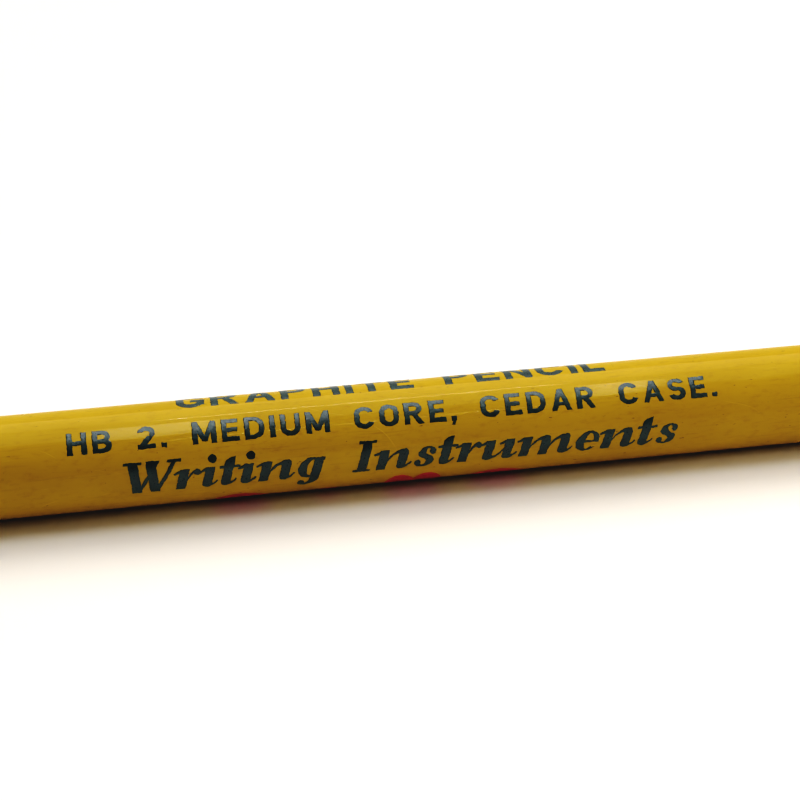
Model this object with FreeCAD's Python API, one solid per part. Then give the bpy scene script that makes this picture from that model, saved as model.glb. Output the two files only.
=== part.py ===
import FreeCAD, Part

import math
import os

# A round wooden pencil with a crimped ferrule and an eraser, lying on its side.
#
# The case is two half-round cedar slats. Each has half of a round groove down its flat face. The graphite
# core lies in the grooves, and one film of glue bonds the slats to each other and to the core. The case is
# lacquered, printed with three lines of lettering and a row of ornaments, and sharpened to a cone that
# cuts through the lacquer, the wood and the core alike. The wood's other end is turned down to a tenon.
# The ferrule, a thin aluminium tube, is pushed over the tenon as far as its shoulder, holds the eraser in
# its open half, and is locked to both by rolled-in grooves and punched dimples.
#
# Millimetres. +X runs along the pencil from the point to the eraser, and +Z is up. The origin is under the
# middle of the pencil, on the surface that it lies on.

Vector = FreeCAD.Vector

# ---- driving dimensions ----

overall_length = 189.0
barrel_diameter = 7.5           # over the lacquer
lacquer_thickness = 0.10
core_diameter = 2.1
glue_thickness = 0.08
slat_joint_angle = 24.0         # how far the plane between the slats is turned about the pencil's axis
sharpening_angle = 22.0         # the whole angle of the sharpened cone
point_radius = 0.25             # the graphite's worn, rounded point

tenon_length = 6.8
ferrule_length = 13.5
ferrule_wall = 0.22
ferrule_inset = 0.03            # the ferrule's outside lies this far under the lacquer's
press_gap = 0.01                # what is left between the ferrule and what it holds
groove_radius = 0.42            # the roller's round edge
groove_depth = 0.20
groove_pitch = 1.35             # between the two grooves of a pair
groove_margin = 1.5             # from an end of the ferrule to the nearest groove
flute_count = 40
flute_radius = 0.22
flute_depth = 0.09
flute_margin = 0.9              # from the inner groove of a pair to the fluted band
dimple_count = 4
dimple_turn = 30.0              # from the -Y side up to the first one
dimple_radius = 0.55
dimple_depth = 0.24

eraser_stick_out = 6.2
eraser_bulge = 0.10             # how far its free end stands out past the ferrule's bore
eraser_edge_radius = 0.55

ink_thickness = 0.02
imprint_angle = 24.0            # the middle of the lettering, up from the horizontal on the -Y side
title_height = 2.4              # each line's capitals
title_offset = 4.22             # and its baseline, round the barrel from the middle of the lettering
title_length = 32.0
details_height = 1.68
details_offset = 1.01
details_length = 47.9
script_height = 2.45
script_offset = -2.38
script_length = 41.0
ornament_width = 4.1
ornament_height = 2.6
ornament_offset = -5.2          # the middle of the row
ornament_pitch = 6.4
ornament_start_x = -11.9
small_ornament_scale = 0.4
pair_rise = 0.5                 # how far the two that touch stand above the rest

# ---- what follows from them ----

barrel_radius = barrel_diameter / 2
case_radius = barrel_radius - lacquer_thickness
core_radius = core_diameter / 2
bore_radius = core_radius + glue_thickness
half_cone = math.radians(sharpening_angle / 2)

point_x = -overall_length / 2
eraser_top_x = overall_length / 2
ferrule_end_x = eraser_top_x - eraser_stick_out
shoulder_x = ferrule_end_x - ferrule_length
tenon_end_x = shoulder_x + tenon_length

ferrule_radius = barrel_radius - ferrule_inset
ferrule_bore = ferrule_radius - ferrule_wall
tenon_radius = ferrule_bore - press_gap
eraser_radius = ferrule_bore + eraser_bulge

groove_xs = [
    shoulder_x + groove_margin,
    shoulder_x + groove_margin + groove_pitch,
    ferrule_end_x - groove_margin - groove_pitch,
    ferrule_end_x - groove_margin,
]
flutes_start_x = groove_xs[1] + flute_margin
flutes_end_x = groove_xs[2] - flute_margin
dimple_xs = [(groove_xs[0] + groove_xs[1]) / 2, (groove_xs[2] + groove_xs[3]) / 2]

AXIS = Vector(1, 0, 0)


def on_axis(x):
    return Vector(x, 0, barrel_radius)


def rod(radius, start_x, end_x):
    return Part.makeCylinder(radius, end_x - start_x, on_axis(start_x), AXIS)


def outward(angle):
    """The direction straight out of the barrel, at an angle in degrees up from the -Y side."""
    a = math.radians(angle)
    return Vector(0, -math.cos(a), math.sin(a))


# ---- the sharpened envelope, which trims all that the sharpener cuts ----


def sharpened(solid):
    """A solid with the cone and the worn point cut on it."""
    # The round point meets the cone where both have the same slope.
    meet_x = point_radius * (1 - math.sin(half_cone))
    meet_radius = point_radius * math.cos(half_cone)
    middle = math.radians((180 + 90 + sharpening_angle / 2) / 2)
    top_radius = barrel_diameter
    top_x = meet_x + (top_radius - meet_radius) / math.tan(half_cone)
    tip = Vector(0, 0, 0)
    on_round = Vector(point_radius * (1 + math.cos(middle)), 0, point_radius * math.sin(middle))
    meet = Vector(meet_x, 0, meet_radius)
    top = Vector(top_x, 0, top_radius)
    far_out = Vector(overall_length, 0, top_radius)
    far_in = Vector(overall_length, 0, 0)
    edges = [
        Part.Arc(tip, on_round, meet).toShape(),
        Part.makeLine(meet, top),
        Part.makeLine(top, far_out),
        Part.makeLine(far_out, far_in),
        Part.makeLine(far_in, tip),
    ]
    profile = Part.Face(Part.Wire(edges))
    envelope = profile.revolve(Vector(0, 0, 0), AXIS, 360)
    envelope.translate(on_axis(point_x))
    return solid.common(envelope)


# ---- what the crimped ferrule shapes: its own two faces, the tenon and the eraser ----


def turned(stations, grooves=(), depth_behind=0.0):
    """A turned solid through (x, radius) stations, with rolled grooves on the run that they lie on.

    depth_behind is how far the grooved run lies behind the ferrule's outside.
    """
    def point(x, radius):
        return Vector(x, 0, barrel_radius + radius)

    here = point(stations[0][0], 0)
    edges = []

    def line_to(there):
        nonlocal here
        if here.distanceToPoint(there) > 1e-7:
            edges.append(Part.makeLine(here, there))
        here = there

    for x, radius in stations:
        for groove_x in grooves:
            if here.x < groove_x < x:
                rise = groove_radius - groove_depth + depth_behind
                half_width = math.sqrt((groove_radius + depth_behind) ** 2 - rise**2)
                line_to(point(groove_x - half_width, radius))
                bottom = point(groove_x, radius - groove_depth)
                far_side = point(groove_x + half_width, radius)
                edges.append(Part.Arc(here, bottom, far_side).toShape())
                here = far_side
        line_to(point(x, radius))
    line_to(point(stations[-1][0], 0))
    line_to(point(stations[0][0], 0))
    return Part.Face(Part.Wire(edges)).revolve(on_axis(0), AXIS, 360)


def dimples(row, depth_behind):
    """The punched dimples of row 0 or 1, grown by how far behind the ferrule's outside they act."""
    balls = []
    for i in range(dimple_count):
        angle = dimple_turn + 360 * (i + row / 2) / dimple_count
        centre = on_axis(dimple_xs[row]) + outward(angle) * (ferrule_radius + dimple_radius - dimple_depth)
        ball = Part.makeSphere(dimple_radius + depth_behind)
        ball.Placement = FreeCAD.Placement(centre, FreeCAD.Rotation(AXIS, outward(angle)))
        balls.append(ball)
    return balls


# ---- wood, core and glue ----


def slat_joint_box(thickness):
    """A flat board through the pencil's axis, in the plane where the slats meet."""
    width = 2 * barrel_diameter
    board = Part.makeBox(
        overall_length, width, thickness, Vector(point_x, -width / 2, barrel_radius - thickness / 2)
    )
    board.rotate(on_axis(0), AXIS, slat_joint_angle)
    return board


def case_blank():
    """The round wooden case with its tenon, before it is split, bored and sharpened."""
    behind = ferrule_wall + press_gap
    stations = [
        (point_x, case_radius),
        (shoulder_x, case_radius),
        (shoulder_x, tenon_radius),
        (tenon_end_x, tenon_radius),
    ]
    return turned(stations, groove_xs[:2], behind).cut(dimples(0, behind))


def graphite_core():
    return sharpened(rod(core_radius, point_x, tenon_end_x))


def glue_film():
    around_core = rod(bore_radius, point_x, tenon_end_x)
    film = slat_joint_box(glue_thickness).common(case_blank()).fuse(around_core)
    return sharpened(film.cut(rod(core_radius, point_x, tenon_end_x)).removeSplitter())


def slat(side):
    """One half of the case: side is 1 for the upper one and -1 for the lower."""
    half_space = slat_joint_box(2 * barrel_diameter)
    shift = side * (barrel_diameter + glue_thickness / 2)
    a = math.radians(slat_joint_angle)
    half_space.translate(Vector(0, -math.sin(a) * shift, math.cos(a) * shift))
    bore = rod(bore_radius, point_x, tenon_end_x)
    return sharpened(case_blank().common(half_space).cut(bore))


# ---- lacquer, ferrule and eraser ----


def lacquer_coat():
    coat = rod(barrel_radius, point_x, shoulder_x).cut(rod(case_radius, point_x, shoulder_x))
    return sharpened(coat)


def ferrule():
    faces = []
    for radius, behind in ((ferrule_radius, 0.0), (ferrule_bore, ferrule_wall)):
        face = turned([(shoulder_x, radius), (ferrule_end_x, radius)], groove_xs, behind)
        faces.append(face.cut(dimples(0, behind) + dimples(1, behind)))
    outside, inside = faces
    flutes = []
    for i in range(flute_count):
        direction = outward(360 * (i + 0.5) / flute_count)
        flute = Part.makeCylinder(flute_radius, flutes_end_x - flutes_start_x)
        start = on_axis(flutes_start_x) + direction * (ferrule_radius + flute_radius - flute_depth)
        flute.Placement = FreeCAD.Placement(start, FreeCAD.Rotation(direction, Vector(), AXIS, "ZXY"))
        flutes.append(flute)
    return outside.cut(flutes).cut(inside)


def eraser():
    behind = ferrule_wall + press_gap
    stations = [
        (tenon_end_x, tenon_radius),
        (ferrule_end_x, tenon_radius),
        (ferrule_end_x, eraser_radius),
        (eraser_top_x, eraser_radius),
    ]
    plug = turned(stations, groove_xs[2:], behind).cut(dimples(1, behind))
    top_edges = [e for e in plug.Edges if e.BoundBox.XMin > eraser_top_x - press_gap]
    return plug.makeFillet(eraser_edge_radius, top_edges)


# ---- the lettering: letters as flat plates, in units of the capital's height, made of strokes ----

PLATE = 1.6                     # how thick the plates are before they are cut down to the ink's film
CIRCLE_PULL = 0.5523            # places a cubic curve's middle points for a quarter of a circle


def plate(start, *steps, lean=0.0, widen=1.0):
    """A flat plate, sloped and widened. A step is a line's next point, or a cubic curve's next three."""
    def leaned(x, y):
        return Vector(widen * x + lean * y, y, -PLATE / 2)

    first = here = leaned(*start)
    edges = []
    for step in steps:
        poles = [here] + [leaned(step[i], step[i + 1]) for i in range(0, len(step), 2)]
        here = poles[-1]
        if len(step) == 2:
            edges.append(Part.makeLine(*poles))
        else:
            curve = Part.BezierCurve()
            curve.setPoles(poles)
            edges.append(curve.toShape())
    if here.distanceToPoint(first) > 1e-6:
        edges.append(Part.makeLine(here, first))
    return Part.Face(Part.Wire(edges)).extrude(Vector(0, 0, PLATE))


def box(x0, y0, x1, y1, **face):
    return plate((x0, y0), (x1, y0), (x1, y1), (x0, y1), **face)


def slant(x0, y0, x1, y1, width, **face):
    """A leaning stroke with level ends; x0 and x1 are the left corners of its ends."""
    return plate((x0, y0), (x0 + width, y0), (x1 + width, y1), (x1, y1), **face)


def oval(x, y, half_width, half_height, **face):
    w, h = half_width, half_height
    pull_w, pull_h = w * CIRCLE_PULL, h * CIRCLE_PULL
    return plate(
        (x + w, y),
        (x + w, y + pull_h, x + pull_w, y + h, x, y + h),
        (x - pull_w, y + h, x - w, y + pull_h, x - w, y),
        (x - w, y - pull_h, x - pull_w, y - h, x, y - h),
        (x + pull_w, y - h, x + w, y - pull_h, x + w, y),
        **face,
    )


def disc(x, y, radius):
    return Part.makeCylinder(radius, PLATE, Vector(x, y, -PLATE / 2))


def union(*plates):
    return plates[0].multiFuse(list(plates[1:])).removeSplitter()


# Broad block capitals: even strokes with square ends.
BLOCK = 0.19                    # the stroke's width
BROAD = 1.22                    # how much the letters are widened


def bar(x0, y0, x1, y1):
    return box(x0, y0, x1, y1, widen=BROAD)


def brace(x0, y0, x1, y1, width):
    return slant(x0, y0, x1, y1, width, widen=BROAD)


def bow(x, y, radius, start, end):
    """Part of a flat ring with its outside at the radius, from one angle to another in degrees."""
    inside = radius - BLOCK
    ring = oval(x, y, radius, radius, widen=BROAD).cut(oval(x, y, inside, inside, widen=BROAD))
    middle = Vector(BROAD * x, y, -PLATE / 2)
    sector = Part.makeCylinder(2 * radius, PLATE, middle, Vector(0, 0, 1), end - start)
    sector.rotate(middle, Vector(0, 0, 1), start)
    return ring.common(sector)


def lobe(low, high, right):
    """The closed bow of a B, P or R, which starts at the stem at x = 0."""
    radius = (high - low) / 2
    straight = right - radius
    return union(
        bar(0, high - BLOCK, straight, high),
        bar(0, low, straight, low + BLOCK),
        bow(straight, (high + low) / 2, radius, -90, 90),
    )


def block_capitals():
    """Each letter's plate and the width that it takes up."""
    t = BLOCK
    wide = 0.70                 # a round letter, and its half for the half circles at its top and foot
    half = wide / 2
    stem = bar(0, 0, t, 1)
    top_bow = (half, 1 - half, half)
    foot_bow = (half, half, half)
    round_left = bar(0, half, t, 1 - half)
    round_right = bar(wide - t, half, wide, 1 - half)
    open_ring = [round_left, bow(*top_bow, 15, 180), bow(*foot_bow, 180, 345)]
    corner = 0.40               # a D's round corners
    small = (1 + t) / 4         # the outer radius of each half of an S
    s_left, s_right = small, 0.64 - small
    middle = (0.5 - t / 2, 0.5 + t / 2)
    letters = {
        "A": (
            union(brace(0, 0, 0.28, 1, t), brace(0.56, 0, 0.28, 1, t), bar(0.15, 0.22, 0.60, 0.38)),
            0.75,
        ),
        "B": (union(stem, lobe(0, middle[1], 0.66), lobe(middle[0], 1, 0.62)), 0.66),
        "C": (union(*open_ring), wide),
        "D": (
            union(
                stem,
                bar(0, 1 - t, wide - corner, 1),
                bar(0, 0, wide - corner, t),
                bar(wide - t, corner, wide, 1 - corner),
                bow(wide - corner, 1 - corner, corner, 0, 90),
                bow(wide - corner, corner, corner, -90, 0),
            ),
            wide,
        ),
        "E": (
            union(stem, bar(0, 0, 0.60, t), bar(0, middle[0], 0.54, middle[1]), bar(0, 1 - t, 0.58, 1)),
            0.60,
        ),
        "G": (
            union(*open_ring, bar(half, 0.34, wide, 0.34 + t), bar(wide - t, 0.12, wide, 0.45)),
            wide,
        ),
        "H": (union(stem, bar(0.68 - t, 0, 0.68, 1), bar(0, middle[0], 0.68, middle[1])), 0.68),
        "I": (stem, t),
        "L": (union(stem, bar(0, 0, 0.56, t)), 0.56),
        "M": (
            union(
                stem,
                bar(0.84 - t, 0, 0.84, 1),
                brace(0.325, 0.1, 0, 1, t),
                brace(0.325, 0.1, 0.65, 1, t),
            ),
            0.84,
        ),
        "N": (union(stem, bar(wide - t, 0, wide, 1), brace(wide - t, 0, 0, 1, t)), wide),
        "O": (
            union(round_left, round_right, bow(*top_bow, 0, 180), bow(*foot_bow, 180, 360)),
            wide,
        ),
        "P": (union(stem, lobe(0.38, 1, 0.65)), 0.65),
        "R": (union(stem, lobe(0.40, 1, 0.65), brace(0.48, 0, 0.24, 0.45, t * 1.1)), 0.70),
        "S": (
            union(
                bow(s_left, 1 - small, small, 90, 270),
                bow(s_right, 1 - small, small, 15, 90),
                bow(s_left, small, small, 195, 270),
                bow(s_right, small, small, -90, 90),
                bar(s_left, 1 - t, s_right, 1),
                bar(s_left, middle[0], s_right, middle[1]),
                bar(s_left, 0, s_right, t),
            ),
            0.64,
        ),
        "T": (union(bar(0.32 - t / 2, 0, 0.32 + t / 2, 1), bar(0, 1 - t, 0.64, 1)), 0.64),
        "U": (union(bar(0, half, t, 1), bar(wide - t, half, wide, 1), bow(*foot_bow, 180, 360)), wide),
        "2": (
            union(bow(0.31, 0.69, 0.31, -35, 170), brace(0, 0.1, 0.34, 0.56, t * 1.3), bar(0, 0, 0.62, t)),
            0.62,
        ),
        ".": (bar(0, 0, t, t), t),
        ",": (union(bar(0, 0, t, t), brace(-0.02, -0.17, 0.06, 0.02, t * 0.6)), t),
    }
    return {c: (shape, BROAD * width) for c, (shape, width) in letters.items()}


# Bold sloping script: heavy stems, hairline joins and round terminals.
STEM = 0.235
HAIR = 0.075
SMALL = 0.66                    # the height of a small letter
SHOULDER = SMALL - 0.17         # where an arch has turned down into its stem
FOOT = 0.17                     # where a stem starts to turn into its foot
OVER = 0.015                    # how far round strokes pass the lines that the flat ones stop at
PITCH = 0.50                    # from stem to stem inside a letter
SLOPE = {"lean": math.tan(math.radians(15.0)), "widen": 1.18}


def script_stroke(start, *steps):
    return plate(start, *steps, **SLOPE)


def script_stem(x, low, high):
    return box(x, low, x + STEM, high, **SLOPE)


def hairline(x0, y0, x1):
    return box(x0, y0, x1, y0 + HAIR, **SLOPE)


def w_down(x):
    return slant(x + 0.30, 0, x, 1, STEM, **SLOPE)


def w_up(x):
    return slant(x + 0.38, 0, x + 0.68, 1, HAIR * 1.4, **SLOPE)


def ball(x, y, radius):
    return disc(SLOPE["widen"] * x + SLOPE["lean"] * y, y, radius)


def entry(x):
    """The flick that leads into the top of a stem."""
    return script_stroke(
        (x + 0.03, SMALL), (x - 0.15, SMALL - 0.11), (x - 0.12, SMALL - 0.16), (x + 0.03, SMALL - 0.10)
    )


def foot(x):
    """The foot of a stem, which turns up into a hairline on its right."""
    right = x + STEM
    return script_stroke(
        (x, FOOT),
        (x, 0.05, x + 0.05, -OVER, x + 0.15, -OVER),
        (right, -OVER, right + 0.10, 0.08, right + 0.16, 0.20),
        (right + 0.115, 0.225),
        (right + 0.07, 0.13, right, 0.08, right, FOOT),
    )


def arch(x):
    """The join that springs from the stem at x and turns down into the next stem."""
    near, far = x + STEM - 0.03, x + PITCH
    right = far + STEM
    return script_stroke(
        (near, 0.26),
        (near + 0.05, 0.52, far - 0.05, SMALL + OVER, far + STEM * 0.5, SMALL + OVER),
        (right - 0.04, SMALL + OVER, right, SMALL - 0.06, right, SHOULDER),
        (far, SHOULDER),
        (far, SMALL - 0.06, near + 0.07, 0.46, near, FOOT),
    )


def cup(x):
    """The join at the foot of a u: it leaves the stem at x, and springs up into the next stem."""
    near, far = x + STEM, x + PITCH + 0.03
    return script_stroke(
        (x, FOOT),
        (x, 0.06, x + 0.04, -OVER, x + STEM * 0.5, -OVER),
        (near + 0.05, -OVER, far - 0.05, SMALL - 0.52, far, SMALL - 0.26),
        (far, SMALL - FOOT),
        (far - 0.07, SMALL - 0.46, near, 0.06, near, FOOT),
    )


def bowl(x):
    """A ring with heavy sides, and its middle at x."""
    middle = SMALL / 2
    outside = oval(x, middle, 0.30, middle + OVER, **SLOPE)
    return outside.cut(oval(x + 0.035, middle, 0.115, middle - 0.055, **SLOPE))


def script_letters():
    """Each letter's plate and the width that it takes up."""
    wide = PITCH + 0.33
    bowl_x = 0.28
    tail_x = 0.34               # the g's stem
    e_mouth = script_stroke((bowl_x + 0.05, 0.29), (0.70, 0.29), (0.70, 0.17), (bowl_x + 0.16, 0.10))
    letters = {
        "I": (union(script_stem(0.1, 0, 1), hairline(0, 0, 0.44), hairline(0, 1 - HAIR, 0.44)), 0.46),
        "W": (
            union(
                w_down(0), w_up(0), w_down(0.44), w_up(0.44),
                hairline(-0.10, 1 - HAIR, 0.34), hairline(0.98, 1 - HAIR, 1.32),
            ),
            1.22,
        ),
        "e": (union(bowl(bowl_x).cut(e_mouth), hairline(bowl_x - 0.12, 0.29, bowl_x + 0.22)), 0.56),
        "g": (
            union(
                bowl(bowl_x),
                script_stem(tail_x, -0.08, SMALL),
                entry(tail_x + STEM),
                script_stroke(
                    (tail_x + STEM, -0.08),
                    (tail_x + STEM, -0.25, tail_x + 0.05, -0.34, tail_x - 0.18, -0.33),
                    (tail_x - 0.18, -0.27),
                    (tail_x - 0.05, -0.28, tail_x, -0.22, tail_x, -0.08),
                ),
                ball(tail_x - 0.18, -0.23, 0.10),
            ),
            0.62,
        ),
        "i": (union(script_stem(0, FOOT, SMALL), entry(0), foot(0), ball(STEM / 2, 0.91, 0.125)), 0.33),
        "m": (
            union(
                script_stem(0, 0, SMALL), entry(0), arch(0),
                script_stem(PITCH, 0, SHOULDER), arch(PITCH),
                script_stem(2 * PITCH, FOOT, SHOULDER), foot(2 * PITCH),
            ),
            PITCH + wide,
        ),
        "n": (
            union(
                script_stem(0, 0, SMALL), entry(0), arch(0),
                script_stem(PITCH, FOOT, SHOULDER), foot(PITCH),
            ),
            wide,
        ),
        "r": (
            union(
                script_stem(0, 0, SMALL), entry(0), ball(STEM + 0.20, SMALL - 0.10, 0.10),
                script_stroke(
                    (STEM - 0.03, 0.26),
                    (STEM + 0.02, 0.50, STEM + 0.08, SMALL, STEM + 0.20, SMALL),
                    (STEM + 0.20, SMALL - 0.10),
                    (STEM + 0.10, SMALL - 0.10, STEM + 0.04, 0.40, STEM - 0.03, FOOT),
                ),
            ),
            0.50,
        ),
        "s": (
            union(
                ball(0.40, SMALL - 0.16, 0.09), ball(0.09, 0.15, 0.09),
                script_stroke(
                    (0.49, SMALL - 0.16),
                    (0.46, SMALL - 0.02, 0.36, SMALL + OVER, 0.26, SMALL + OVER),
                    (0.12, SMALL + OVER, 0.04, SMALL - 0.08, 0.04, SMALL - 0.18),
                    (0.04, 0.28, 0.29, 0.32, 0.29, 0.17),
                    (0.29, 0.09, 0.26, 0.045, 0.21, 0.045),
                    (0.12, 0.045, 0.18, 0.10, 0.15, 0.18),
                    (0.00, 0.15),
                    (0.03, 0.02, 0.12, -OVER, 0.24, -OVER),
                    (0.40, -OVER, 0.48, 0.08, 0.48, 0.20),
                    (0.48, 0.38, 0.22, 0.36, 0.22, SMALL - 0.13),
                    (0.22, SMALL - 0.07, 0.24, SMALL - 0.045, 0.28, SMALL - 0.045),
                    (0.34, SMALL - 0.045, 0.31, SMALL - 0.12, 0.33, SMALL - 0.20),
                ),
            ),
            0.50,
        ),
        "t": (
            union(
                script_stroke((0, FOOT), (STEM, FOOT), (STEM, 0.94), (0.07, 0.88), (0, 0.80)),
                foot(0),
                hairline(-0.12, SMALL - HAIR, STEM + 0.16),
            ),
            0.36,
        ),
        "u": (
            union(
                script_stem(0, FOOT, SMALL), entry(0), cup(0),
                script_stem(PITCH, FOOT, SMALL), entry(PITCH), foot(PITCH),
            ),
            wide,
        ),
    }
    return {c: (shape, SLOPE["widen"] * width) for c, (shape, width) in letters.items()}


# ---- ink on the barrel ----


def printed(plates, offset, height):
    """Ink films of plates, laid on the barrel with y = 0 at an arc's length from the lettering's middle."""
    angle = imprint_angle + math.degrees((offset + height / 2) / barrel_radius)
    film_start = shoulder_x - overall_length
    film = rod(barrel_radius + ink_thickness, film_start, shoulder_x).cut(
        rod(barrel_radius, film_start, shoulder_x)
    )
    films = []
    for block in plates:
        block = block.copy()
        # Flat x stays along the pencil, and the flat face goes on the barrel's side at the angle.
        block.translate(Vector(0, -height / 2, barrel_radius))
        block.rotate(Vector(0, 0, 0), AXIS, 90 - angle)
        block.translate(on_axis(0))
        films.extend(block.common(film).Solids)
    return films


def line_of_type(text, letters, height, length, offset):
    """One line of lettering, centred on the pencil's middle and spaced out to its length."""
    word_space = 0.62
    natural = sum(word_space if c == " " else letters[c][1] for c in text) * height
    gap = (length - natural) / (len(text) - 1)
    x = -length / 2
    plates = []
    for c in text:
        width = word_space
        if c != " ":
            letter, width = letters[c]
            letter = letter.copy()
            letter.scale(height, Vector(0, 0, 0))
            letter.translate(Vector(x, 0, 0))
            plates.append(letter)
        x += width * height + gap
    return Part.makeCompound(printed(plates, offset, height))


def ornament(place, scale=1.0):
    """An oval ornament at a place in the row, counted from 0."""
    x = ornament_start_x + place * ornament_pitch
    return oval(x, 0, scale * ornament_width / 2, scale * ornament_height / 2)


def ornament_row():
    """A row of ovals: a large one, a small one, a narrow pair that touch, and a large one."""
    pair_x = ornament_start_x + 2 * ornament_pitch
    pair_shift = ornament_width / 4
    half_width = 1.05 * pair_shift
    half_height = ornament_height / 2
    pair = union(
        oval(pair_x - pair_shift, pair_rise, half_width, half_height),
        oval(pair_x + pair_shift, pair_rise, half_width, half_height),
    )
    small = ornament(1, small_ornament_scale)
    return Part.makeCompound(printed([ornament(0), small, pair, ornament(3)], ornament_offset, 0))


# ---- the pieces ----

block_letters = block_capitals()
sloping_letters = script_letters()

nodes = {
    "graphite_core": graphite_core(),
    "upper_slat": slat(1),
    "lower_slat": slat(-1),
    "glue_film": glue_film(),
    "lacquer_coat": lacquer_coat(),
    "ferrule": ferrule(),
    "eraser": eraser(),
    "ink_title": line_of_type(
        "GRAPHITE PENCIL", block_letters, title_height, title_length, title_offset
    ),
    "ink_details": line_of_type(
        "HB 2. MEDIUM CORE, CEDAR CASE.", block_letters, details_height, details_length, details_offset
    ),
    "ink_script": line_of_type(
        "Writing Instruments", sloping_letters, script_height, script_length, script_offset
    ),
    "ink_ornament": ornament_row(),
}

os.makedirs("parts", exist_ok=True)
for name, shape in nodes.items():
    solids = shape.Solids
    assert solids and all(s.isValid() for s in solids), name
    shape.exportStep("parts/" + name + ".step")
    print(name, len(solids), "solids", round(sum(s.Volume for s in solids), 3), "mm3")
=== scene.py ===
import math

import bmesh
import bpy
import numpy as np
from mathutils import Matrix, Vector


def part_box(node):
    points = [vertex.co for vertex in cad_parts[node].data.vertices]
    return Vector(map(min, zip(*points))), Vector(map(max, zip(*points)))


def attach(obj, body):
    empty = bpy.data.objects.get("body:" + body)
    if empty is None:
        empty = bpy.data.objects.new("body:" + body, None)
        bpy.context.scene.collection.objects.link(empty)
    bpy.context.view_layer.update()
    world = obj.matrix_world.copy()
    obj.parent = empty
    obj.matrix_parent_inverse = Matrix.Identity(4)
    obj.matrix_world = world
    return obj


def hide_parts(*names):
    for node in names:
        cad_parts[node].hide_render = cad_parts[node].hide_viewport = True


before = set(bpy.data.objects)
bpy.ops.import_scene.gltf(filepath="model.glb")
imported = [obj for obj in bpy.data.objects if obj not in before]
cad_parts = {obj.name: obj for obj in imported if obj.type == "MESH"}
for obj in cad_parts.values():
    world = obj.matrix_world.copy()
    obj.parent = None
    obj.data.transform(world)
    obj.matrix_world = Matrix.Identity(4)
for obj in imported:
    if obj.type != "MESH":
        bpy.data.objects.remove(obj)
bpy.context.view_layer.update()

# ---- the graphite core ----
# One rod of fired graphite and clay, as long as the wood. The sharpener cuts its end to a point, which
# leaves fine turning marks and a grey shine, and writing rounds the tip and wears it flat on one side.

MM = 0.001

_, barrel_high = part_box("lacquer_coat")
core_low, core_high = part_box("graphite_core")
RADIUS = barrel_high.z / 2
CORE_RADIUS = core_high.z - RADIUS
POINT_X = core_low.x
CORE_END_X = core_high.x
HALF_CONE = math.radians(11.0)
CONE_SLOPE = math.tan(HALF_CONE)
TIP_RADIUS = 0.25 * MM
# Where the cone's apex would be, a little in front of the rounded tip.
APEX_X = POINT_X + TIP_RADIUS - TIP_RADIUS / math.sin(HALF_CONE)
# A straight run needs no rings of its mesh closer together than this.
LONG_STEP = 12 * MM


def swell(points, size, seed, stretch=1.0):
    """A smooth random height at each point, mostly between -1 and 1, with bumps about as long as size."""
    chance = np.random.default_rng(seed)
    waves = 16
    total = np.zeros(len(points))
    for _ in range(waves):
        direction = chance.normal(size=3)
        direction /= np.linalg.norm(direction)
        direction[0] /= stretch
        length = size * chance.uniform(0.7, 1.7)
        total += np.sin(points @ direction * (2 * math.pi / length) + chance.uniform(0, 2 * math.pi))
    return total / math.sqrt(waves)


def on_barrel(x, angle, radius):
    """Points from arrays of places along the pencil, angles up from the -Y side, and radii."""
    return np.stack([x, -radius * np.cos(angle), RADIUS + radius * np.sin(angle)], axis=-1)


def placed(name, data):
    """A new object in the scene that holds this mesh, light or camera."""
    made = bpy.data.objects.new(name, data)
    bpy.context.scene.collection.objects.link(made)
    return made


def smooth_mesh(name, shape, sharp_angle):
    """A bmesh as a mesh with its faces turned outwards, smooth but for edges sharper than sharp_angle."""
    bmesh.ops.recalc_face_normals(shape, faces=shape.faces)
    mesh = bpy.data.meshes.new(name)
    shape.to_mesh(mesh)
    shape.free()
    mesh.shade_smooth()
    mesh.set_sharp_from_angle(angle=math.radians(sharp_angle))
    return mesh


def closed_mesh(name, points, faces, sharp_angle):
    """An object whose mesh has these points and faces."""
    shape = bmesh.new()
    corners = [shape.verts.new(p) for p in points]
    for face in faces:
        shape.faces.new([corners[i] for i in face])
    return placed(name, smooth_mesh(name, shape, sharp_angle))


def turned(name, profile, around, sharp_angle, shape=None, ring=False):
    """A closed solid turned round the pencil's axis from a profile of (x, radius) points.

    The profile starts and ends on the axis, or with ring it goes round a tube's wall and closes on itself.
    Its mesh has around faces in each ring. shape takes arrays of x, angle and radius, and gives the
    changed x and radius.
    """
    rows = np.array(profile if ring else profile[1:-1])
    angles = np.arange(around) * 2 * math.pi / around
    x = np.repeat(rows[:, 0], around)
    radius = np.repeat(rows[:, 1], around)
    angle = np.tile(angles, len(rows))
    if shape:
        x, radius = shape(x, angle, radius)
    points = list(on_barrel(x, angle, radius))
    faces = []
    for row in range(len(rows) if ring else len(rows) - 1):
        here = row * around
        there = (row + 1) % len(rows) * around
        for i in range(around):
            after = (i + 1) % around
            faces.append((here + i, here + after, there + after, there + i))
    if not ring:
        last = (len(rows) - 1) * around
        first_pole = len(points)
        points.append((profile[0][0], 0, RADIUS))
        points.append((profile[-1][0], 0, RADIUS))
        for i in range(around):
            after = (i + 1) % around
            faces.append((first_pole, after, i))
            faces.append((first_pole + 1, last + i, last + after))
    return closed_mesh(name, points, faces, sharp_angle)


def steps(start, end, longest):
    """Evenly spaced values from start to end, no further apart than longest."""
    return np.linspace(start, end, max(2, math.ceil(abs(end - start) / longest) + 1))


def linear(code):
    """The linear colour of an sRGB hex code."""
    channels = [int(code[i : i + 2], 16) / 255 for i in (1, 3, 5)]
    return tuple(c / 12.92 if c <= 0.04045 else ((c + 0.055) / 1.055) ** 2.4 for c in channels) + (1.0,)


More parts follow.
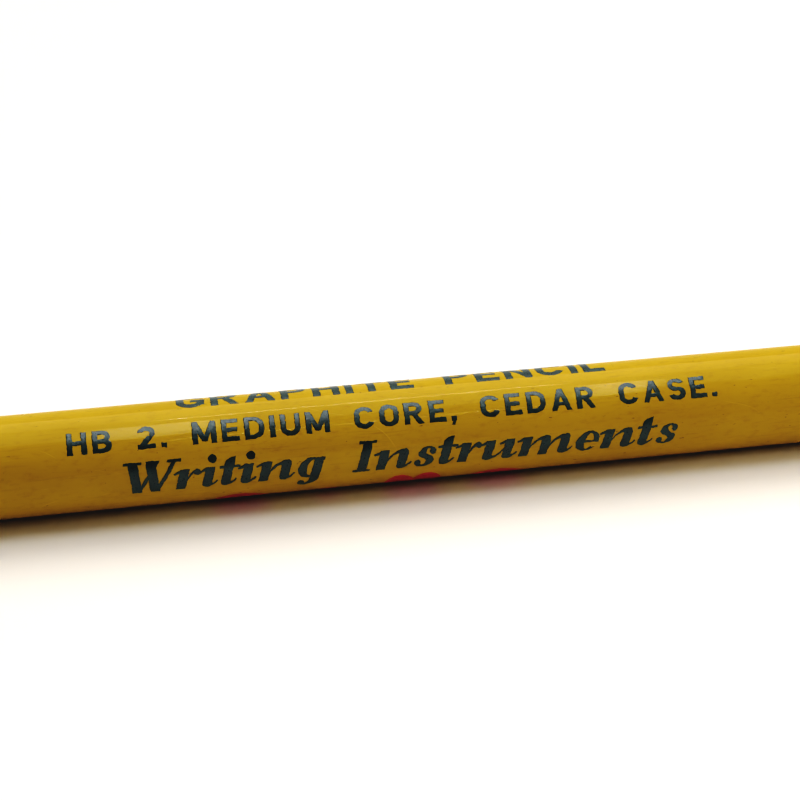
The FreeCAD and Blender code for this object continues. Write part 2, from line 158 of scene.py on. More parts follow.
def feed(tree, node, inputs):
    """Sets a node's inputs, each to a value or to the socket that feeds it."""
    for key, value in inputs.items():
        if isinstance(value, bpy.types.NodeSocket):
            tree.links.new(value, node.inputs[key])
        else:
            node.inputs[key].default_value = value


def add(tree, kind, inputs=None, **settings):
    """Adds a node with its settings, feeds its inputs and gives its outputs."""
    made = tree.nodes.new(kind)
    for name, value in settings.items():
        setattr(made, name, value)
    feed(tree, made, inputs or {})
    return made.outputs


def new_material(name):
    """A material with its tree, its shader and the Object coordinates that the patterns use."""
    material = bpy.data.materials.new(name)
    material.use_nodes = True
    tree = material.node_tree
    return material, tree, tree.nodes["Principled BSDF"], add(tree, "ShaderNodeTexCoord")["Object"]


def per_metre(size_mm):
    """The scale of a pattern whose features are this many millimetres across."""
    return 1 / (size_mm * MM)


def speckled(tree, place, colour, tint, across, shows, along=1.0, detail=3.0, roughness=0.55, share=1.0):
    """Lays specks of a tint over a colour. Gives the new colour, and the noise that the specks follow.

    A speck is across millimetres wide and along times as long. shows is where the noise starts to show and
    where it shows in full, and share is how much of the tint it shows there.
    """
    drawn_out = add(tree, "ShaderNodeMapping", {"Vector": place, "Scale": (1 / along, 1, 1)})[0]
    noise_inputs = {"Vector": drawn_out, "Scale": per_metre(across), "Detail": detail, "Roughness": roughness}
    noise = add(tree, "ShaderNodeTexNoise", noise_inputs)["Fac"]
    shown_inputs = {"Value": noise, "From Min": shows[0], "From Max": shows[1], "To Max": share}
    shown = add(tree, "ShaderNodeMapRange", shown_inputs, interpolation_type="SMOOTHSTEP")[0]
    mixed = add(tree, "ShaderNodeMix", {0: shown, 6: colour, 7: linear(tint)}, data_type="RGBA")[2]
    return mixed, noise


def relief(tree, *layers):
    """The normal of a surface whose layers are each a height's socket and its real depth in millimetres."""
    height = 0.0
    for pattern, depth_mm in layers:
        sum_inputs = {0: pattern, 1: depth_mm, 2: height}
        height = add(tree, "ShaderNodeMath", sum_inputs, operation="MULTIPLY_ADD")[0]
    return add(tree, "ShaderNodeBump", {"Height": height, "Distance": MM, "Strength": 1.0})[0]


def point_shape(x, angle, radius):
    """Turning marks on the sharpened graphite, and the flat that writing has worn on the tip."""
    mark_pitch = 0.09 * MM
    mark_height = 0.004 * MM
    worn_length = 0.9 * MM
    worn_slope = 0.16
    least_radius = 0.01 * MM
    points = on_barrel(x, angle, radius)
    on_cone = radius < CORE_RADIUS * 0.995
    marks = np.sin(x / mark_pitch * 2 * math.pi + angle) * 0.5 + swell(points, 0.25 * MM, 3)
    radius = radius + on_cone * marks * mark_height
    worn_side = np.clip(-np.sin(angle + 0.5), 0, None) ** 2
    worn = np.clip(worn_length - (x - POINT_X), 0, None) * worn_side
    return x, np.maximum(radius - worn * worn_slope, least_radius)


tip_turn = [math.radians(a) for a in range(8, 80, 8)]
core_profile = [(POINT_X, 0.0)]
core_profile += [(POINT_X + TIP_RADIUS * (1 - math.cos(a)), TIP_RADIUS * math.sin(a)) for a in tip_turn]
cone_start_x = POINT_X + TIP_RADIUS * (1 - math.cos(tip_turn[-1])) + 0.02 * MM
core_cone_end_x = APEX_X + CORE_RADIUS / CONE_SLOPE
core_profile += [(x, (x - APEX_X) * CONE_SLOPE) for x in steps(cone_start_x, core_cone_end_x, 0.03 * MM)]
core_profile += [(x, CORE_RADIUS) for x in steps(core_cone_end_x + 0.05 * MM, CORE_END_X, LONG_STEP)]
core_profile.append((CORE_END_X, 0.0))
core = turned("graphite_lead", core_profile, around=96, sharp_angle=60, shape=point_shape)

# Fired graphite and clay, cut by a blade: near black, with a grey metallic shine in fine rings.
graphite, tree, shader, place = new_material("sharpened_graphite")
ground = linear("#434347")
colour, smears = speckled(tree, place, ground, "#6c6c72", across=0.5, along=0.3, shows=(0.4, 0.7))
grit_inputs = {"Vector": place, "Scale": per_metre(0.06), "Detail": 3.0, "Roughness": 0.55}
clay_grit = add(tree, "ShaderNodeTexNoise", grit_inputs)["Fac"]
gloss_inputs = {"Value": smears, "From Min": 0.35, "From Max": 0.7, "To Min": 0.52, "To Max": 0.3}
gloss = add(tree, "ShaderNodeMapRange", gloss_inputs, interpolation_type="SMOOTHSTEP")[0]
normal = relief(tree, (clay_grit, 0.006))
feed(tree, shader, {"Base Color": colour, "Metallic": 0.45, "Roughness": gloss, "Normal": normal})
core.data.materials.append(graphite)
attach(core, "root")
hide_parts("graphite_core")

# ---- the cedar slats ----
# Two half-round slats of incense cedar, planed flat, grooved for the core and glued together. The
# sharpener's blade leaves close spiral cuts on the cone, and pulls short fibres out of the soft grain.

GLUE_THICKNESS = 0.08 * MM
LACQUER_THICKNESS = 0.10 * MM
FERRULE_WALL = 0.22 * MM
TENON_GAP = 0.01 * MM
JOINT_ANGLE = math.radians(-24.0)
_, wood_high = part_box("upper_slat")
ferrule_low, ferrule_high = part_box("ferrule")
FERRULE_RADIUS = ferrule_high.z - RADIUS
BORE_RADIUS = CORE_RADIUS + GLUE_THICKNESS
CASE_RADIUS = RADIUS - LACQUER_THICKNESS
TENON_RADIUS = FERRULE_RADIUS - FERRULE_WALL - TENON_GAP
WOOD_END_X = wood_high.x
SHOULDER_X = ferrule_low.x
CONE_END_X = APEX_X + RADIUS / CONE_SLOPE
# The mesh is fine enough for the blade's marks up to here.
MARKS_END_X = CONE_END_X + 2 * MM
wood_start_x = APEX_X + (BORE_RADIUS + 0.004 * MM) / CONE_SLOPE
case_start_x = APEX_X + CASE_RADIUS / CONE_SLOPE


def cut_marks(x, angle):
    """How far the sharpened wood stands out or in, in metres."""
    cut_pitch = 0.34 * MM
    points = on_barrel(x, angle, np.full(len(x), RADIUS))
    spiral = np.sin(x / cut_pitch * 2 * math.pi + 2 * angle + swell(points, 6 * MM, 11) * 1.5)
    fibres = swell(points, 0.3 * MM, 12, stretch=9)
    torn = np.clip(swell(points, 0.55 * MM, 13, stretch=6) - 0.9, 0, None)
    return (0.006 * spiral + 0.005 * fibres - 0.05 * torn) * MM


def slat(name, side):
    """One half of the case: side is 1 for the upper slat and -1 for the lower."""
    cone_xs = steps(wood_start_x, case_start_x, 0.07 * MM)
    stations = [(x, (x - APEX_X) * CONE_SLOPE) for x in cone_xs]
    stations += [(x, CASE_RADIUS) for x in steps(case_start_x + 0.05 * MM, MARKS_END_X, 0.2 * MM)]
    stations += [(x, CASE_RADIUS) for x in steps(CONE_END_X + 8 * MM, SHOULDER_X, LONG_STEP)]
    stations += [(SHOULDER_X + 0.01 * MM, TENON_RADIUS), (WOOD_END_X, TENON_RADIUS)]
    across = 120
    points = []
    for x, outer in stations:
        for radius, order in ((outer, 1), (BORE_RADIUS, -1)):
            edge = math.asin(GLUE_THICKNESS / 2 / radius)
            turn = np.linspace(edge, math.pi - edge, across)[::order]
            xs = np.full(across, x)
            radii = np.full(across, radius)
            angle = side * turn + JOINT_ANGLE
            if radius == outer and x < MARKS_END_X:
                radii = np.maximum(radii + cut_marks(xs, angle), BORE_RADIUS + 0.002 * MM)
            points.extend(on_barrel(xs, angle, radii))
    count = 2 * across
    faces = []
    for station in range(len(stations) - 1):
        here = station * count
        for i in range(count):
            after = (i + 1) % count
            faces.append((here + i, here + after, here + count + after, here + count + i))
    for here in (0, (len(stations) - 1) * count):
        for i in range(across - 1):
            faces.append((here + i, here + i + 1, here + count - 2 - i, here + count - 1 - i))
    return closed_mesh(name, points, faces, sharp_angle=40)


# Incense cedar, bare where the sharpener has cut it: pinkish brown, with darker latewood lines that run
# along the grain, and a dry, dull face.
cedar, tree, shader, place = new_material("sharpened_incense_cedar")
ground = linear("#d8ab7c")
colour, _ = speckled(tree, place, ground, "#b67b50", across=0.9, along=30, detail=2, shows=(0.35, 0.68))
colour, fine_grain = speckled(
    tree, place, colour, "#8f5a3a",
    across=0.16, along=14, detail=4, roughness=0.65, shows=(0.5, 0.78), share=0.65,
)
colour, _ = speckled(tree, place, colour, "#7d6a5c", across=2.5, detail=2, shows=(0.55, 0.8), share=0.28)
normal = relief(tree, (fine_grain, 0.02))
feed(tree, shader, {"Base Color": colour, "Roughness": 0.72, "Specular IOR Level": 0.3, "Normal": normal})

slats = (("cedar_slat_upper", "upper_slat", 1), ("cedar_slat_lower", "lower_slat", -1))
for slat_name, node_name, side in slats:
    half = slat(slat_name, side)
    half.data.materials.append(cedar)
    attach(half, "root")
    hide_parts(node_name)

# ---- the glue film ----
# White wood glue, pressed to a thin film that holds the slats together and the core between them. The
# sharpener cuts through it, so it shows as a thin line down each side of the cone.

# White glue dries clear and slightly yellow, with a soft shine, and darker where the cedar stains it.
glue, tree, shader, place = new_material("dried_wood_glue")
ground = linear("#c9a777")
colour, _ = speckled(tree, place, ground, "#8d6640", across=0.4, along=5, shows=(0.35, 0.65))
feed(tree, shader, {"Base Color": colour, "Roughness": 0.45})
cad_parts["glue_film"].data.materials.clear()
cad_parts["glue_film"].data.materials.append(glue)

# ---- the lacquer ----
# Several thin dips of golden-yellow nitrocellulose lacquer. It shrinks a little onto the wood as it
# dries, so the grain shows through as faint ridges, and the sharpener leaves its front edge ragged.

# The ragged front edge shifts the lacquer's mesh over this length.
EDGE_FADE = 3 * MM


def edge_wander(angle):
    """How far the sharpened front edge lies behind the cone's own, in metres, with a few deeper chips."""
    ring = on_barrel(np.zeros(len(angle)), angle, np.full(len(angle), RADIUS))
    wander = 0.07 * MM * (1 + swell(ring, 1.1 * MM, 21)) + 0.03 * MM * swell(ring, 0.35 * MM, 22)
    chips = np.clip(swell(ring, 2.2 * MM, 23) - 1.0, 0, None) * 0.5 * MM
    return np.clip(wander, 0, None) + chips


def lacquer_shape(x, angle, radius):
    """The wood's ridges and small dents in the lacquer's outside, and its ragged front edge."""
    points = on_barrel(x, angle, radius)
    outside = radius > RADIUS - 0.02 * MM
    ridges = 0.0016 * swell(points, 0.9 * MM, 24, stretch=40)
    waves = 0.0030 * swell(points, 5 * MM, 25, stretch=3)
    dents = -0.02 * np.clip(swell(points, 2.4 * MM, 26, stretch=2) - 1.55, 0, None)
    radius = radius + outside * (ridges + waves + dents) * MM
    fade = np.clip(1 - (x - CONE_END_X) / EDGE_FADE, 0, 1) ** 2
    return x + edge_wander(angle) * fade, radius


outer_xs = np.concatenate([
    steps(CONE_END_X, CONE_END_X + EDGE_FADE, 0.15 * MM)[:-1],
    steps(CONE_END_X + EDGE_FADE, SHOULDER_X - 0.06 * MM, 0.62 * MM),
])
coat_profile = [(x, RADIUS) for x in outer_xs]
coat_profile += [(SHOULDER_X - 0.01 * MM, RADIUS - 0.02 * MM), (SHOULDER_X, RADIUS - 0.06 * MM)]
coat_profile.append((SHOULDER_X, CASE_RADIUS))
inner_xs = [SHOULDER_X - 30 * MM, 0, CONE_END_X + 20 * MM, CONE_END_X + EDGE_FADE]
coat_profile += [(x, CASE_RADIUS) for x in inner_xs]
coat_profile += [(CONE_END_X - 0.02 * MM, CASE_RADIUS), (CONE_END_X - 0.03 * MM, CASE_RADIUS + 0.05 * MM)]
coat = turned("yellow_lacquer", coat_profile, around=220, sharp_angle=50, shape=lacquer_shape, ring=True)

# Dipped nitrocellulose lacquer: a satin gloss that years of handling have softened, with faint streaks
# along the wood's grain, small dark specks of dirt, and a few dull scuffs.
lacquer, tree, shader, place = new_material("golden_nitrocellulose_lacquer")
ground = linear("#c5a71d")
colour, clouds = speckled(tree, place, ground, "#be9f19", across=4.0, along=3, detail=2, shows=(0.3, 0.7))
colour, mottle = speckled(
    tree, place, colour, "#a9861c",
    across=0.35, along=2.5, detail=4, roughness=0.65, shows=(0.48, 0.75), share=0.35,
)
colour, streaks = speckled(
    tree, place, colour, "#98741b",
    across=0.16, along=22, detail=4, roughness=0.6, shows=(0.55, 0.8), share=0.3,
)
# Dirt: round specks in some cells of a pattern, and longer flecks.
cells = add(tree, "ShaderNodeTexVoronoi", {"Vector": place, "Scale": per_metre(1.9)}, feature="F1")
lots = add(tree, "ShaderNodeSeparateColor", {"Color": cells["Color"]})
speck_inputs = {"Value": lots[0], "From Min": 0.5, "To Max": 0.06}
speck_size = add(tree, "ShaderNodeMapRange", speck_inputs, interpolation_type="SMOOTHSTEP")[0]
specks = add(tree, "ShaderNodeMath", {0: cells["Distance"], 1: speck_size}, operation="LESS_THAN")[0]
darkness = add(tree, "ShaderNodeMath", {0: lots[1], 1: 0.8}, operation="MULTIPLY")[0]
dirt = add(tree, "ShaderNodeMath", {0: specks, 1: darkness}, operation="MULTIPLY")[0]
colour = add(tree, "ShaderNodeMix", {0: dirt, 6: colour, 7: linear("#54401c")}, data_type="RGBA")[2]
colour, _ = speckled(
    tree, place, colour, "#6b4f1c", across=0.28, along=2.2, detail=2, shows=(0.705, 0.76), share=0.55
)
# Wear: dull rubbed patches, and a few fine pale scratches that wander across the barrel.
pale = "#dcc070"
colour, rubbed = speckled(
    tree, place, colour, pale, across=0.8, along=5, detail=5, roughness=0.7, shows=(0.62, 0.74), share=0.22
)
tilted = add(tree, "ShaderNodeMapping", {"Vector": place, "Rotation": (0.4, 0.9, 0.35)})[0]
wave_inputs = {"Vector": tilted, "Scale": per_metre(8.0), "Distortion": 3.0, "Detail": 1.0}
waves = add(tree, "ShaderNodeTexWave", wave_inputs, bands_direction="Y")["Fac"]
line_inputs = {"Value": waves, "From Min": 0.9992, "From Max": 0.99995, "To Max": 0.28}
lines = add(tree, "ShaderNodeMapRange", line_inputs, interpolation_type="SMOOTHSTEP")[0]
patch_inputs = {"Vector": place, "Scale": per_metre(3.0), "Detail": 2.0, "Roughness": 0.55}
patches = add(tree, "ShaderNodeTexNoise", patch_inputs)["Fac"]
scratched_inputs = {"Value": patches, "From Min": 0.52, "From Max": 0.62}
scratched = add(tree, "ShaderNodeMapRange", scratched_inputs, interpolation_type="SMOOTHSTEP")[0]
scratches = add(tree, "ShaderNodeMath", {0: lines, 1: scratched}, operation="MULTIPLY")[0]
colour = add(tree, "ShaderNodeMix", {0: scratches, 6: colour, 7: linear(pale)}, data_type="RGBA")[2]
gloss_inputs = {"Value": clouds, "From Min": 0.3, "From Max": 0.7, "To Min": 0.52, "To Max": 0.6}
gloss = add(tree, "ShaderNodeMapRange", gloss_inputs, interpolation_type="SMOOTHSTEP")[0]
dull_inputs = {"Value": rubbed, "From Min": 0.62, "From Max": 0.74, "To Max": 0.15}
dull = add(tree, "ShaderNodeMapRange", dull_inputs, interpolation_type="SMOOTHSTEP")[0]
roughness = add(tree, "ShaderNodeMath", {0: gloss, 1: dull}, operation="ADD")[0]
feed(tree, shader, {
    "Base Color": colour,
    "Roughness": roughness,
    "IOR": 1.45,
    "Specular IOR Level": 0.35,
    "Coat Weight": 0.3,
    "Coat Roughness": 0.07,
    "Normal": relief(tree, (streaks, 0.0015), (mottle, 0.002), (dirt, 0.004), (scratches, 0.007)),
})
coat.data.materials.append(lacquer)
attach(coat, "root")
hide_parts("lacquer_coat")

# ---- the imprint ----
# Three lines of lettering and a row of ovals, stamped with stiff ink while the pencil rolls under the
# die. The ink spreads past the type's edges, so each letter's outline wanders a little.

INK_HEIGHT = 0.02 * MM
LETTER_STEP = 0.085 * MM
OVAL_STEP = 0.12 * MM


def stamped(name, node_name, seed, step):
    """A copy of the ink's film, cut into faces no longer than step, with its edges roughened."""
    sunk = 0.004 * MM
    shape = bmesh.new()
    shape.from_mesh(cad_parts[node_name].data)
    bmesh.ops.remove_doubles(shape, verts=shape.verts, dist=0.0005 * MM)
    lift = shape.verts.layers.float.new("lift")
    for v in shape.verts:
        from_axis = math.hypot(v.co.y, v.co.z - RADIUS)
        v[lift] = 1.0 if from_axis > RADIUS + INK_HEIGHT / 2 else 0.0
    for _ in range(6):
        long_edges = [e for e in shape.edges if e.calc_length() > step]
        if not long_edges:
            break
        bmesh.ops.subdivide_edges(shape, edges=long_edges, cuts=1)
        bmesh.ops.triangulate(shape, faces=[f for f in shape.faces if len(f.verts) > 3])
    co = np.array([v.co for v in shape.verts])
    lifts = np.array([v[lift] for v in shape.verts])
    angle = np.arctan2(co[:, 2] - RADIUS, -co[:, 1])
    flat = on_barrel(co[:, 0], angle, np.full(len(co), RADIUS))
    spread = 0.018 * MM * swell(flat, 0.30 * MM, seed) + 0.012 * MM * swell(flat, 0.13 * MM, seed + 1)
    sideways = 0.018 * MM * swell(flat, 0.30 * MM, seed + 2) + 0.012 * MM * swell(flat, 0.13 * MM, seed + 3)
    height = lifts * INK_HEIGHT * (0.75 + 0.12 * swell(flat, 0.25 * MM, seed + 4))
    points = on_barrel(co[:, 0] + spread, angle + sideways / RADIUS, RADIUS - sunk + height)
    for v, p in zip(shape.verts, points):
        v.co = p
    return placed(name, smooth_mesh(name, shape, sharp_angle=40))


def stamping_ink(name, full, thin, sheen):
    """Stiff oil ink on lacquer: it dries to an even shine, and is paler and duller in its pinholes."""
    material, tree, shader, place = new_material(name)
    colour, _ = speckled(tree, place, linear(full), thin, across=0.9, detail=2, shows=(0.35, 0.7), share=0.4)
    colour, pinholes = speckled(
        tree, place, colour, thin, across=0.16, detail=4, roughness=0.7, shows=(0.62, 0.78), share=0.8
    )
    gloss_inputs = {
        "Value": pinholes, "From Min": 0.3, "From Max": 0.7,
        "To Min": sheen, "To Max": sheen + 0.12,
    }
    gloss = add(tree, "ShaderNodeMapRange", gloss_inputs, interpolation_type="SMOOTHSTEP")[0]
    feed(tree, shader, {
        "Base Color": colour,
        "Roughness": gloss,
        "Specular IOR Level": 1.0,
        "Normal": relief(tree, (pinholes, 0.004)),
    })
    return material


dark_ink = stamping_ink("dark_green_stamping_ink", "#0d383e", "#2b5856", 0.26)
red_ink = stamping_ink("crimson_stamping_ink", "#b72a4c", "#c65050", 0.34)
prints = (
    ("title_lettering", "ink_title", 41, LETTER_STEP, dark_ink, "dark_ink"),
    ("details_lettering", "ink_details", 51, LETTER_STEP, dark_ink, "dark_ink"),
    ("script_lettering", "ink_script", 61, LETTER_STEP, dark_ink, "dark_ink"),
    ("red_ovals", "ink_ornament", 71, OVAL_STEP, red_ink, "red_ink"),
)
for print_name, node_name, seed, step, ink, slot_name in prints:
    film = stamped(print_name, node_name, seed, step)
    film.data.materials.append(ink)
    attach(film, "root")
    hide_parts(node_name)

# ---- the ferrule ----
# A tube of thin drawn aluminium over the wood's tenon. A roller presses two pairs of grooves and a
# fluted band into it, and punched dimples between the grooves pin it to the wood and to the eraser.

FERRULE_END_X = ferrule_high.x
LIP = FERRULE_WALL / 2
middle_x = (SHOULDER_X + FERRULE_END_X) / 2
half_length = (FERRULE_END_X - SHOULDER_X) / 2
near_lip_x = SHOULDER_X + LIP
far_lip_x = FERRULE_END_X - LIP


def rounded_lip(x, first, last):
    """The round edge of the tube's wall, as profile points every 30 degrees from first to last."""
    turns = [math.radians(a) for a in range(first, last + 1, 30)]
    return [(x + LIP * math.sin(a), FERRULE_RADIUS - LIP + LIP * math.cos(a)) for a in turns]


tube_profile = [(x, FERRULE_RADIUS) for x in steps(near_lip_x, far_lip_x, 0.085 * MM)]
tube_profile += rounded_lip(far_lip_x, 30, 150)
tube_profile += [(x, FERRULE_RADIUS - FERRULE_WALL) for x in steps(far_lip_x, near_lip_x, 3 * MM)]
tube_profile += rounded_lip(near_lip_x, 210, 330)
ferrule = turned("crimped_ferrule", tube_profile, around=400, sharp_angle=60, ring=True)

# Drawn aluminium, bright where it is rubbed, with fine lines round it from the roller and a grey
# film of oxide and dirt that stays in the grooves.
aluminium, tree, shader, place = new_material("rolled_aluminium")
pressed = add(tree, "ShaderNodeAttribute", attribute_name="pressed", attribute_type="GEOMETRY")["Fac"]
colour, film = speckled(
    tree, place, linear("#d9d8d5"), "#b3b0aa",
    across=0.9, detail=4, roughness=0.65, shows=(0.45, 0.75), share=0.5,
)
hollow_inputs = {"Value": pressed, "From Min": 0.25, "From Max": 1.0}
hollow = add(tree, "ShaderNodeMapRange", hollow_inputs, interpolation_type="SMOOTHSTEP")[0]
dirty_inputs = {"Value": film, "From Min": 0.3, "From Max": 0.65}
dirty = add(tree, "ShaderNodeMapRange", dirty_inputs, interpolation_type="SMOOTHSTEP")[0]
dirt = add(tree, "ShaderNodeMath", {0: hollow, 1: dirty}, operation="MULTIPLY")[0]
dirt_share = add(tree, "ShaderNodeMath", {0: dirt, 1: 0.75}, operation="MULTIPLY")[0]
colour = add(tree, "ShaderNodeMix", {0: dirt_share, 6: colour, 7: linear("#6b6459")}, data_type="RGBA")[2]
worn_inputs = {"Value": film, "From Min": 0.35, "From Max": 0.7, "To Min": 0.2, "To Max": 0.36}
worn = add(tree, "ShaderNodeMapRange", worn_inputs, interpolation_type="SMOOTHSTEP")[0]
gloss = add(tree, "ShaderNodeMath", {0: dirt, 1: 0.25, 2: worn}, operation="MULTIPLY_ADD")[0]
round_it = add(tree, "ShaderNodeMapping", {"Vector": place, "Scale": (4, 1, 1)})[0]
line_inputs = {"Vector": round_it, "Scale": per_metre(0.05), "Detail": 2.0, "Roughness": 0.55}
roller_lines = add(tree, "ShaderNodeTexNoise", line_inputs)["Fac"]
normal = relief(tree, (roller_lines, 0.003), (film, 0.006))
feed(tree, shader, {"Base Color": colour, "Metallic": 1.0, "Roughness": gloss, "Normal": normal})

GROOVE_MARGIN = 1.5 * MM
GROOVE_PITCH = 1.35 * MM
FLUTE_MARGIN = 0.9 * MM
FLUTE_FADE = 0.25 * MM
DIMPLE_COUNT = 4
FIRST_DIMPLE_DEGREES = 30.0
flutes_end = half_length - GROOVE_MARGIN - GROOVE_PITCH - FLUTE_MARGIN
crimp_sizes = {
    "Centre": (middle_x, 0.0, RADIUS),
    "Outside From": FERRULE_RADIUS - 0.03 * MM,
    "Pair Place": half_length - GROOVE_MARGIN - GROOVE_PITCH / 2,
    "Groove Place": GROOVE_PITCH / 2,
    "Groove Half Width": 0.40 * MM,
    "Groove Depth": 0.19 * MM,
    "Flute Count": 40.0,
    "Flute Depth": 0.085 * MM,
    "Flutes End": flutes_end,
    "Flutes Full": flutes_end - FLUTE_FADE,
    "Dimple Count": float(DIMPLE_COUNT),
    "Dimple Pitch": 2 * math.pi * FERRULE_RADIUS / DIMPLE_COUNT,
    "Dimple Turn": FIRST_DIMPLE_DEGREES * DIMPLE_COUNT / 360.0,
    "Dimple Half Width": 0.5 * MM,
    "Dimple Depth": 0.24 * MM,
}
crimps = bpy.data.node_groups.new("ferrule_crimps", "GeometryNodeTree")
crimps.interface.new_socket("Geometry", in_out="INPUT", socket_type="NodeSocketGeometry")
for name, value in crimp_sizes.items():
    kind = "NodeSocketVector" if isinstance(value, tuple) else "NodeSocketFloat"
    crimps.interface.new_socket(name, in_out="INPUT", socket_type=kind)
crimps.interface.new_socket("Metal", in_out="INPUT", socket_type="NodeSocketMaterial")
crimps.interface.new_socket("Geometry", in_out="OUTPUT", socket_type="NodeSocketGeometry")

size = add(crimps, "NodeGroupInput")
spot = add(crimps, "GeometryNodeInputPosition")[0]
centred = add(crimps, "ShaderNodeVectorMath", {0: spot, 1: size["Centre"]}, operation="SUBTRACT")[0]
along, back, up = add(crimps, "ShaderNodeSeparateXYZ", {0: centred})
section = add(crimps, "ShaderNodeCombineXYZ", {"Y": back, "Z": up})[0]
from_axis = add(crimps, "ShaderNodeVectorMath", {0: section}, operation="LENGTH")["Value"]
outer = add(crimps, "ShaderNodeMath", {0: from_axis, 1: size["Outside From"]}, operation="GREATER_THAN")[0]
front = add(crimps, "ShaderNodeMath", {0: back, 1: -1.0}, operation="MULTIPLY")[0]
angle = add(crimps, "ShaderNodeMath", {0: up, 1: front}, operation="ARCTAN2")[0]

# The grooves: a pair at each end of the tube, each with a round bottom.
from_middle = add(crimps, "ShaderNodeMath", {0: along}, operation="ABSOLUTE")[0]
past_pair = add(crimps, "ShaderNodeMath", {0: from_middle, 1: size["Pair Place"]}, operation="SUBTRACT")[0]
from_pair = add(crimps, "ShaderNodeMath", {0: past_pair}, operation="ABSOLUTE")[0]
past_groove = add(crimps, "ShaderNodeMath", {0: from_pair, 1: size["Groove Place"]}, operation="SUBTRACT")[0]
from_groove = add(crimps, "ShaderNodeMath", {0: past_groove}, operation="ABSOLUTE")[0]
groove_inputs = {"Value": from_groove, "From Min": size["Groove Half Width"], "From Max": 0.0}
groove_inputs["To Max"] = size["Groove Depth"]
groove = add(crimps, "ShaderNodeMapRange", groove_inputs, interpolation_type="SMOOTHSTEP")[0]

# The flutes: each one's section is a turn of a wave, and the band fades out at both ends.
wave_turn = add(crimps, "ShaderNodeMath", {0: angle, 1: size["Flute Count"]}, operation="MULTIPLY")[0]
wave = add(crimps, "ShaderNodeMath", {0: wave_turn}, operation="COSINE")[0]
raised = add(crimps, "ShaderNodeMath", {0: wave, 1: 0.5, 2: 0.5}, operation="MULTIPLY_ADD")[0]
furrow = add(crimps, "ShaderNodeMath", {0: raised, 1: 1.6}, operation="POWER")[0]
band_inputs = {"Value": from_middle, "From Min": size["Flutes End"], "From Max": size["Flutes Full"]}
band_inputs["To Max"] = size["Flute Depth"]
band = add(crimps, "ShaderNodeMapRange", band_inputs)[0]
flute = add(crimps, "ShaderNodeMath", {0: furrow, 1: band}, operation="MULTIPLY")[0]

# The dimples: a row between the grooves of each pair. The row by the eraser is turned half a step.
turns = add(crimps, "ShaderNodeMath", {0: angle, 1: 2 * math.pi}, operation="DIVIDE")[0]
dimple_steps = add(crimps, "ShaderNodeMath", {0: turns, 1: size["Dimple Count"]}, operation="MULTIPLY")[0]
past_first = add(crimps, "ShaderNodeMath", {0: dimple_steps, 1: size["Dimple Turn"]}, operation="SUBTRACT")[0]
far_row = add(crimps, "ShaderNodeMath", {0: along, 1: 0.0}, operation="GREATER_THAN")[0]
row_steps = add(crimps, "ShaderNodeMath", {0: far_row, 1: -0.5, 2: past_first}, operation="MULTIPLY_ADD")[0]
past_nearest = add(crimps, "ShaderNodeMath", {0: row_steps, 1: 0.5, 2: -0.5}, operation="WRAP")[0]
around_it = add(crimps, "ShaderNodeMath", {0: past_nearest, 1: size["Dimple Pitch"]}, operation="MULTIPLY")[0]
to_dimple = add(crimps, "ShaderNodeCombineXYZ", {"X": around_it, "Y": from_pair})[0]
from_dimple = add(crimps, "ShaderNodeVectorMath", {0: to_dimple}, operation="LENGTH")["Value"]
dimple_inputs = {"Value": from_dimple, "From Min": size["Dimple Half Width"], "From Max": 0.0}
dimple_inputs["To Max"] = size["Dimple Depth"]
dimple = add(crimps, "ShaderNodeMapRange", dimple_inputs, interpolation_type="SMOOTHSTEP")[0]

rolled = add(crimps, "ShaderNodeMath", {0: groove, 1: flute}, operation="MAXIMUM")[0]
deepest = add(crimps, "ShaderNodeMath", {0: rolled, 1: dimple}, operation="MAXIMUM")[0]
depth = add(crimps, "ShaderNodeMath", {0: deepest, 1: outer}, operation="MULTIPLY")[0]
share = add(crimps, "ShaderNodeMath", {0: depth, 1: size["Dimple Depth"]}, operation="DIVIDE")[0]
inward = add(crimps, "ShaderNodeMath", {0: depth, 1: -1.0}, operation="MULTIPLY")[0]
outward = add(crimps, "ShaderNodeVectorMath", {0: section}, operation="NORMALIZE")[0]
shift = add(crimps, "ShaderNodeVectorMath", {0: outward, "Scale": inward}, operation="SCALE")[0]
marks = {"Geometry": size["Geometry"], "Name": "pressed", "Value": share}
marked = add(crimps, "GeometryNodeStoreNamedAttribute", marks, data_type="FLOAT", domain="POINT")[0]
moved = add(crimps, "GeometryNodeSetPosition", {"Geometry": marked, "Offset": shift})[0]
real = add(crimps, "GeometryNodeRealizeInstances", {"Geometry": moved})[0]
coated = add(crimps, "GeometryNodeSetMaterial", {"Geometry": real, "Material": size["Metal"]})[0]
add(crimps, "NodeGroupOutput", {"Geometry": coated})


def apply_tree(target, group, values):
    """Runs a node tree on an object with its named inputs set, and keeps the result as a plain mesh."""
    modifier = target.modifiers.new(group.name, "NODES")
    modifier.node_group = group
    for item in group.interface.items_tree:
        if item.in_out == "INPUT" and item.name in values:
            modifier[item.identifier] = values[item.name]
    evaluated = target.evaluated_get(bpy.context.evaluated_depsgraph_get())
    mesh = bpy.data.meshes.new_from_object(evaluated)
    target.modifiers.remove(modifier)
    target.data = mesh


apply_tree(ferrule, crimps, {**crimp_sizes, "Metal": aluminium})
ferrule.data.shade_smooth()
ferrule.data.set_sharp_from_angle(angle=math.radians(60))
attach(ferrule, "root")
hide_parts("ferrule")

# ---- the eraser ----
# A plug of pink rubber, filled with fine pumice so that it rubs. The ferrule squeezes it, its free end
# swells a little past the rim, and use has rounded its edge and smudged it with graphite.

_, eraser_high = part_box("eraser")
ERASER_RADIUS = eraser_high.z - RADIUS
ERASER_TOP_X = eraser_high.x
